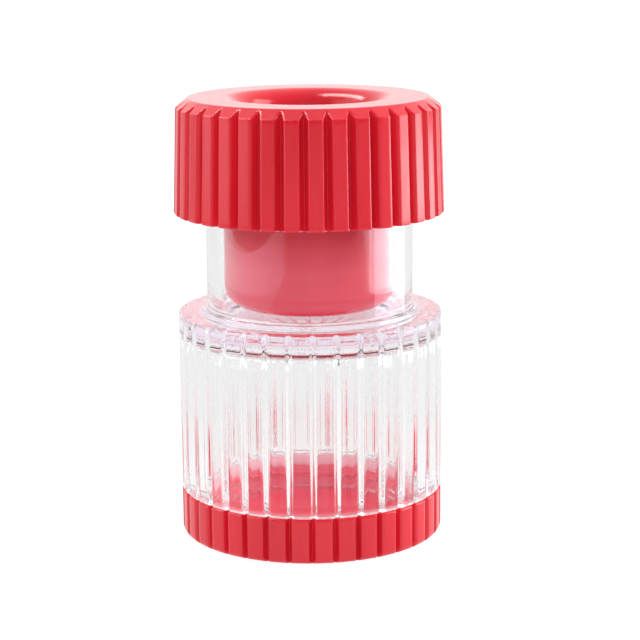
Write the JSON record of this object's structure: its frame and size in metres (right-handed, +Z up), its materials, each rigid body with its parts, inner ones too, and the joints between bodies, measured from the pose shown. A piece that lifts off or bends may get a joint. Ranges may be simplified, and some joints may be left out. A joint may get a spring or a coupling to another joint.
{
  "type": "tablet crusher",
  "caption": "Screw-down tablet crusher: ribbed cap with hollow plunger, clear fluted body with crushing cup and storage chamber, screw-on ribbed base.",
  "frame": {"origin": "middle of the underside, on the common axis of the cap, the body and the base", "axes": "+Z up along the screw axis, from the base to the cap; the piece is round, so X and Y are free"},
  "size_m": [0.046, 0.046, 0.075],
  "materials": {
    "clear_body": "clear polished styrene",
    "red_moulding": "glossy moulded red plastic"
  },
  "bodies": {
    "body": {"clear_body": "clear_body"},
    "plunger": {"plunger": "red_moulding"},
    "cap": {"ribbed_cap": "red_moulding"},
    "base_floor": {"base_floor": "red_moulding"},
    "base": {"ribbed_base": "red_moulding"}
  },
  "joints": [
    {"name": "cap_rise", "type": "slide", "parent": "body", "child": "plunger", "axis": [0, 0, 1], "range_m": [-0.00046, 0.01051]},
    {"name": "cap_turn", "type": "hinge", "parent": "plunger", "child": "cap", "pos_m": [0, 0, 0.0556], "axis": [0, 0, 1], "range_deg": [-54, 1260]},
    {"name": "base_drop", "type": "slide", "parent": "body", "child": "base_floor", "axis": [0, 0, -1], "range_m": [0, 0.00461]},
    {"name": "base_turn", "type": "hinge", "parent": "base_floor", "child": "base", "pos_m": [0, 0, 0.0077], "axis": [0, 0, -1], "range_deg": [0, 720]}
  ],
  "couplings": [
    {"joint": "cap_rise", "follows": "cap_turn", "m_per_rad": 0.00047746},
    {"joint": "base_drop", "follows": "base_turn", "m_per_rad": 0.00036606}
  ]
}
